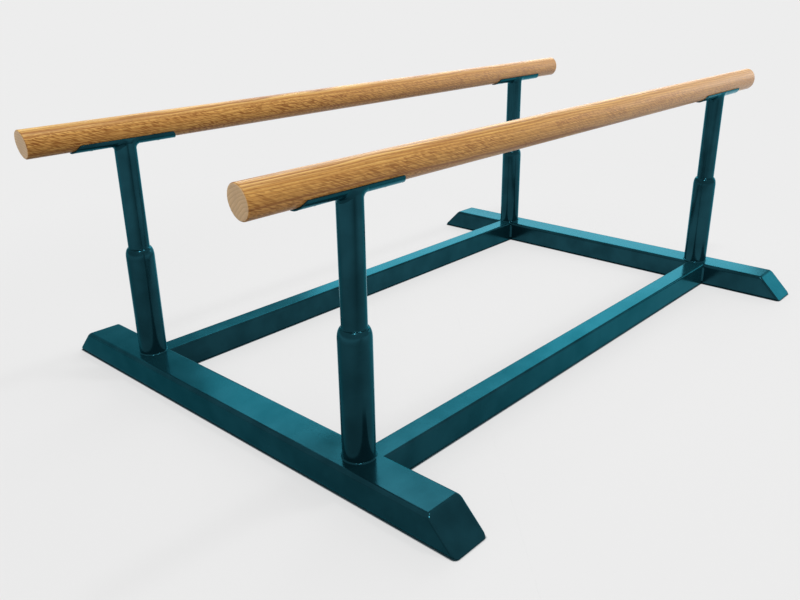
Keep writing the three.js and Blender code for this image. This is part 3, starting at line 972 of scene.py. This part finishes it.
@dataclass
class Saddle:
    """The rolled plate with tongue-shaped ends that cradles a rail, and its two screws.

    Attributes:
        end: The end that the saddle is at.
        side: The side that the saddle is on.
        enamel: The plate's finish.
        zinc: The screws' finish.
        thickness: The plate's thickness.
        tongue: The length of a rounded end.
        tip_share: The share of the tongue's roundness that is left flat at its very tip.
        edge: The rounding of the plate's edges.
        socket: The width of a screw's hexagon socket across its flats.
        socket_depth: The depth of that socket.
        shank: The diameter of a screw's shank.
        tip: The length of a screw's point.
        clearance: The gap between a screw and its hole.
        screws: The numbers of the saddle's screws.
    """

    end: End
    side: Side
    enamel: Finish
    zinc: Finish
    thickness: float = 2.5 * MM
    tongue: float = 19 * MM
    tip_share: float = 0.01
    edge: float = 0.7 * MM
    socket: float = 3 * MM
    socket_depth: float = 1.6 * MM
    shank: float = 5 * MM
    tip: float = 6 * MM
    clearance: float = 0.2 * MM
    screws: tuple[int, ...] = (1, 2)

    def __post_init__(self) -> None:
        """Reads the saddle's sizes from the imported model."""
        self.name = corner_name(self.end, self.side)
        self.box = Box.of(f"{self.name}_saddle")
        rail = Box.of(f"{self.side.name.lower()}_rail")
        axis = Vector((self.box.centre.x, rail.centre.y, rail.centre.z))
        down = axis.z - self.box.low.z
        self.seat = OvalSeat(axis, rail.size.y / 2 + down - rail.size.z / 2, down)
        self.wrap = math.asin(self.box.size.y / 2 / self.seat.across)

    def widest_turn(self, along: float) -> float:
        """Gives how far round the oval the plate reaches at a distance from its middle."""
        into_tongue = max(0.0, abs(along) - (self.box.size.x / 2 - self.tongue)) / self.tongue
        return min(self.wrap, math.acos(into_tongue * (1 - self.tip_share)))

    def plate(self, along_steps: int = 60, round_steps: int = 28) -> None:
        """Builds the plate from a flat grid that is wrapped on the oval and thickened.

        Args:
            along_steps: How many steps the plate has along the rail.
            round_steps: How many steps it has round the oval.
        """
        bm = bmesh.new()
        bmesh.ops.create_grid(bm, x_segments=along_steps, y_segments=round_steps, size=1)
        half = self.box.size.x / 2
        for vert in bm.verts:
            along = half * math.sin(vert.co.x * QUARTER_TURN)
            turn = vert.co.y * self.widest_turn(along)
            vert.co = self.seat.axis + Vector((
                along, self.seat.across * math.sin(turn), -self.seat.down * math.cos(turn)))
        bmesh.ops.recalc_face_normals(bm, faces=bm.faces)
        if bm.faces[:][0].normal.z > 0:
            bmesh.ops.reverse_faces(bm, faces=bm.faces)
        bmesh.ops.solidify(bm, geom=bm.faces, thickness=self.thickness)
        rim = [edge for edge in bm.edges if edge.calc_face_angle(0) > RIM_ANGLE]
        bmesh.ops.bevel(bm, geom=rim, offset=self.edge, affect="EDGES", segments=EDGE_STEPS, profile=0.5,
                        material=-1)
        for number in self.screws:
            bm = cut(bm, self.screw_hole(number))
        finish_piece(bm, f"{self.name}_saddle_plate", self.enamel, f"{self.name}_saddle")

    def screw_hole(self, number: int) -> Shape:
        """Makes the shape of a countersunk hole, which clears its screw all round.

        Args:
            number: The screw's number on this saddle.

        Returns:
            The hole, which runs past both faces of the plate.
        """
        box = Box.of(f"{self.name}_rail_screw_{number}")
        mouth = box.size.x / 2 + self.clearance
        throat = self.shank / 2 + self.clearance
        outside = box.low.z - self.thickness
        inside = box.low.z + 2 * self.thickness
        bm = turned([
            (0, outside),
            (mouth + self.thickness, outside),
            (throat, box.low.z + mouth - throat),
            (throat, inside),
            (0, inside),
        ], SCREW_STEPS)
        bmesh.ops.translate(bm, vec=(box.centre.x, box.centre.y, 0), verts=bm.verts)
        return bm

    def screw(self, number: int) -> None:
        """Builds a countersunk screw with a hexagon socket, which points up into the rail."""
        box = Box.of(f"{self.name}_rail_screw_{number}")
        head, shank, flats = box.size.x / 2, self.shank / 2, self.socket / 2
        bm = turned([
            (0, box.low.z + self.socket_depth),
            (flats, box.low.z + self.socket_depth),
            (flats, box.low.z),
            (head, box.low.z),
            (shank, box.low.z + head - shank),
            (shank, box.high.z - self.tip),
            (0, box.high.z),
        ], SCREW_STEPS)
        sector = math.tau / SOCKET_SIDES
        for vert in bm.verts:
            if abs(math.hypot(vert.co.x, vert.co.y) - flats) < MERGE_DISTANCE:
                off_flat = math.atan2(vert.co.y, vert.co.x) % sector - sector / 2
                vert.co.xy = vert.co.xy / math.cos(off_flat)
        bmesh.ops.translate(bm, vec=(box.centre.x, box.centre.y, 0), verts=bm.verts)
        finish_piece(bm, f"{self.name}_flat_screw_{number}", self.zinc, f"{self.name}_rail_screw_{number}")

    def build(self) -> None:
        """Builds the plate and its screws."""
        self.plate()
        for number in self.screws:
            self.screw(number)


@dataclass
class TimberRail:
    """A solid oval rail with eased ends, whose front end is cut a little off square.

    Attributes:
        side: The side that the rail is on.
        heart: Where the tree's heart lies across the rail.
        heartwood: The heartwood's radius, along whose edge runs a painted shade line.
        lean: How far the grain leans from the rail's length.
        fleck: The least and the most of the fleck's colour on the sides.
        rounding: The rounding of the rail's ends.
        rounding_steps: How many steps that rounding has.
        undercut: How much shorter the front end is below than on top.
    """

    side: Side
    heart: Pair
    heartwood: float
    lean: Pair
    fleck: Pair
    rounding: float = 2.4 * MM
    rounding_steps: int = 5
    undercut: float = 6 * MM

    def build(self) -> None:
        """Builds the rail from an oval that is swept along X."""
        name = self.side.name.lower()
        box = Box.of(f"{name}_rail")
        bm = bmesh.new()
        bmesh.ops.create_circle(bm, cap_ends=True, segments=TURNING_STEPS, radius=0.5)
        place = (Matrix.Translation((box.low.x, box.centre.y, box.centre.z))
                 @ Matrix.Diagonal((1, box.size.y, box.size.z, 1)) @ Matrix.Rotation(QUARTER_TURN, 4, "Y"))
        bmesh.ops.transform(bm, matrix=place, verts=bm.verts)
        extruded(bm, bm.faces[:], Vector((box.size.x, 0, 0)))
        for vert in bm.verts:
            if vert.co.x < box.centre.x:
                vert.co.x += self.undercut * (box.high.z - vert.co.z) / box.size.z
        bm.normal_update()
        ends = {edge for face in bm.faces if len(face.edges) == TURNING_STEPS for edge in face.edges}
        bmesh.ops.bevel(bm, geom=list(ends), offset=self.rounding, affect="EDGES",
                        segments=self.rounding_steps, profile=0.5, material=-1)
        ash = LacqueredAsh(name, box.centre, self.heart, self.heartwood, self.lean, self.fleck)
        finish = Finish(Slot.TIMBER, ash.material())
        finish_piece(bm, f"{name}_oval_rail", finish, f"{name}_rail", even_flats=True)


@dataclass(frozen=True)
class Viewpoint:
    """Where the camera stands and how it is turned.

    Attributes:
        place: The camera's place.
        heading: The way it looks, from +X towards +Y.
        dip: How far it looks down.
        roll: How far its right side is turned down.
        lens: The focal length for the sensor's width.
        sensor: The sensor's width.
    """

    place: tuple[float, float, float] = (-1.2963, -1.0174, 0.7007)
    heading: float = math.radians(42.65)
    dip: float = math.radians(21.65)
    roll: float = math.radians(0.82)
    lens: float = 36.0
    sensor: float = 36.0

    def camera(self) -> None:
        """Makes the camera."""
        data = bpy.data.cameras.new("camera")
        data.lens = self.lens
        data.sensor_width = self.sensor
        camera = placed("camera", data)
        camera.matrix_world = (
            Matrix.Translation(self.place)
            @ Matrix.Rotation(self.heading - QUARTER_TURN, 4, "Z")
            @ Matrix.Rotation(QUARTER_TURN - self.dip, 4, "X")
            @ Matrix.Rotation(-self.roll, 4, "Z"))
        bpy.context.scene.camera = camera


@dataclass(frozen=True)
class Softbox:
    """A rectangular studio lamp.

    Attributes:
        name: The lamp's name.
        place: Where it hangs.
        target: The point that it faces.
        width: Its width.
        height: Its height.
        power: Its power in watts.
        mirrored: Whether glossy surfaces show it.
        matt_light: Whether matt surfaces take its light.
    """

    name: str
    place: tuple[float, float, float]
    target: tuple[float, float, float]
    width: float
    height: float
    power: float
    mirrored: bool = True
    matt_light: bool = True

    def hang(self) -> None:
        """Adds the lamp to the scene."""
        light = bpy.data.lights.new(self.name, "AREA")
        light.shape = "RECTANGLE"
        light.size = self.width
        light.size_y = self.height
        light.energy = self.power
        lamp = placed(self.name, light)
        lamp.location = self.place
        lamp.rotation_euler = (Vector(self.target) - Vector(self.place)).to_track_quat("-Z", "Y").to_euler()
        lamp.visible_camera = False
        lamp.visible_glossy = self.mirrored
        lamp.visible_diffuse = self.matt_light


@dataclass(frozen=True)
class Studio:
    """A plain pale floor under soft light, with the camera at the photographed angle.

    Attributes:
        backdrop: The colour that the floor and the room show.
        paint: The floor's own colour, which takes the shadow.
        bounce: The colour of the light that the floor throws back on the bars.
        contact_shadow: The colour of a painted shadow: the dark line where the floor meets the feet and
            beams.
        contact_shadow_reach: How far from them the floor looks for what stands on it.
        contact_shadow_span: How open the floor is where the painted shadow line is full and where it ends.
        shadow_share: How much of the floor's own light shows beside the bars.
        shadow_span: How far from the middle that share starts to fade and has faded out.
        dim_place: Where along X the floor is dimmest, between its two pools of light.
        pool_reach: How far from there the floor reaches its full brightness.
        pool_gain: How bright the bars' gloss shows the floor there and in the pools of light.
        room_light: The strength of the even light from all round.
        floor_size: The floor's length and width.
        floor_gap: How far the floor lies under the feet.
        viewpoint: The camera's place and turn.
    """

    backdrop: str = "#EDEDED"
    paint: str = "#D6D6D6"
    bounce: str = "#606060"
    contact_shadow: str = "#2C4850"
    contact_shadow_reach: float = 4.5 * MM
    contact_shadow_span: Pair = (0.64, 0.9)
    shadow_share: float = 0.3
    shadow_span: Pair = (0.9, 1.7)
    dim_place: float = -0.8
    pool_reach: float = 0.9
    pool_gain: Pair = (0.7, 1.9)
    room_light: float = 0.55
    floor_size: float = 120.0
    floor_gap: float = 0.2 * MM
    viewpoint: Viewpoint = Viewpoint()

    def shown_ray(self, tree: Tree) -> Source:
        """Adds nodes that give 1 to rays that show a surface or its mirror image, and 0 to others."""
        path = node(tree, "LightPath")
        total = path.outputs["Is Camera Ray"]
        for ray in ("Is Glossy Ray", "Is Transmission Ray"):
            total = node(tree, "Math", {0: total, 1: path.outputs[ray]}, operation="MAXIMUM")
        return total

    def floor_glow(self, tree: Tree, place: Source) -> Node:
        """Adds the floor's plain look, which only the bars' gloss shows in two pools of light."""
        along = node(tree, "SeparateXYZ", {"Vector": place}).outputs["X"]
        off_dim = node(tree, "Math", {0: along, 1: -self.dim_place}, operation="ADD")
        pool = node(tree, "MapRange", {
            "Value": node(tree, "Math", {0: off_dim}, operation="ABSOLUTE"),
            "From Max": self.pool_reach,
            "To Min": self.pool_gain[0],
            "To Max": self.pool_gain[1],
        })
        mirrored = node(tree, "LightPath").outputs["Is Glossy Ray"]
        gain = node(tree, "MapRange", {"Value": mirrored, "To Min": 1.0, "To Max": pool})
        return node(tree, "Emission", {"Color": linear(self.backdrop), "Strength": gain})

    def floor_material(self) -> bpy.types.Material:
        """Builds a painted floor that shows the backdrop's colour, keeps a soft shadow and has a painted
        shadow line where the feet and beams stand.
        """
        material, tree = new_material("matt_painted_floor")
        place = node(tree, "TexCoord").outputs["Object"]
        share = node(tree, "MapRange", {
            "Value": node(tree, "VectorMath", {0: place}, operation="LENGTH"),
            "From Min": self.shadow_span[0],
            "From Max": self.shadow_span[1],
            "To Min": self.shadow_share,
            "To Max": 0.0,
        }, interpolation_type="SMOOTHSTEP")
        pale, dark, bounce = (node(tree, "BsdfDiffuse", {"Color": linear(colour)})
                              for colour in (self.paint, self.contact_shadow, self.bounce))
        soft = node(tree, "MixShader", {"Fac": share, 1: self.floor_glow(tree, place), 2: pale})
        # Ambient occlusion finds where the floor meets what stands on it, and a dark teal diffuse is mixed
        # in there: a painted shadow line under the feet and beams.
        open_sky = node(tree, "AmbientOcclusion", {"Distance": self.contact_shadow_reach}, samples=8)
        clear = node(tree, "MapRange", {
            "Value": open_sky.outputs["AO"],
            "From Min": self.contact_shadow_span[0],
            "From Max": self.contact_shadow_span[1],
        })
        shown = node(tree, "MixShader", {"Fac": clear, 1: dark, 2: soft})
        surface = node(tree, "MixShader", {"Fac": self.shown_ray(tree), 1: bounce, 2: shown})
        node(tree, "OutputMaterial", {"Surface": surface})
        material.cycles.emission_sampling = "NONE"
        return material

    def floor(self) -> None:
        """Lays the floor."""
        bm = bmesh.new()
        bmesh.ops.create_grid(bm, x_segments=1, y_segments=1, size=self.floor_size / 2)
        bmesh.ops.translate(bm, vec=(0, 0, -self.floor_gap), verts=bm.verts)
        mesh = mesh_data(bm, "studio_floor")
        mesh.materials.append(self.floor_material())
        floor = placed("studio_floor", mesh)

    def room(self) -> None:
        """Lights the scene evenly from all round, and shows the backdrop's colour."""
        world = bpy.data.worlds.new("studio_room")
        bpy.context.scene.world = world
        world.use_nodes = True
        tree = world.node_tree
        tree.nodes.clear()
        strength = node(tree, "MapRange", {"Value": self.shown_ray(tree), "To Min": self.room_light})
        light = node(tree, "Background", {"Color": linear(self.backdrop), "Strength": strength})
        node(tree, "OutputWorld", {"Surface": light})

    def lamps(self) -> list[Softbox]:
        """Lists the lamps: three behind the bars, one in front, a wide one overhead and two small ones.

        The wide ones in front and overhead only light. The small one in front only makes glints.
        """
        return [
            Softbox("rear_softbox", (3.6, 3.2, 3.6), (0, 0, 0.1), 4.2, 2.0, 95),
            Softbox("rear_strip", (4.93, 3.08, 2.1), (0, 0, 0.1), 4.3, 1.5, 72),
            Softbox("side_strip", (5.6, -1.4, 1.3), (0, 0, 0.1), 3.4, 1.3, 40),
            Softbox("front_softbox", (-4.4, -5.2, 3.6), (0, 0, 0.2), 4.0, 4.0, 230, mirrored=False),
            Softbox("overhead_softbox", (0, 0, 4), (0, 0, 0), 3.0, 3.0, 50, mirrored=False),
            Softbox("overhead_spot", (0.2, -0.6, 2.6), (0, 0, 0.2), 0.2, 0.2, 12),
            Softbox("front_spark", (-1.4, -1.1, 2.3), (-0.3, 0, 0.2), 0.16, 0.16, 26, matt_light=False),
        ]

    def build(self) -> None:
        """Builds the studio and sets the colour management."""
        self.floor()
        self.room()
        for lamp in self.lamps():
            lamp.hang()
        self.viewpoint.camera()
        bpy.context.scene.view_settings.view_transform = "Standard"


def main() -> None:
    """Builds the bars and the studio."""
    logging.basicConfig(level=logging.INFO, format="%(message)s")
    enamel = Finish(Slot.ENAMEL, StovedEnamel().material())
    zinc = Finish(Slot.ZINC, ZincPlate().material())
    Studio().build()
    FloorFrame(enamel).build()
    for end in End:
        for side in Side:
            saddle = Saddle(end, side, enamel, zinc)
            saddle.build()
            SteppedPost(end, side, enamel).build(saddle.seat, saddle.box.size.y / 2)
    TimberRail(Side.LEFT, (18 * MM, -62 * MM), 62 * MM, (math.radians(0.4), math.radians(-0.3)),
               (0.6, 1.0)).build()
    TimberRail(Side.RIGHT, (-30 * MM, -50 * MM), 43 * MM, (math.radians(-0.5), math.radians(0.3)),
               (0.3, 0.75)).build()


if __name__ == "__main__":
    main()
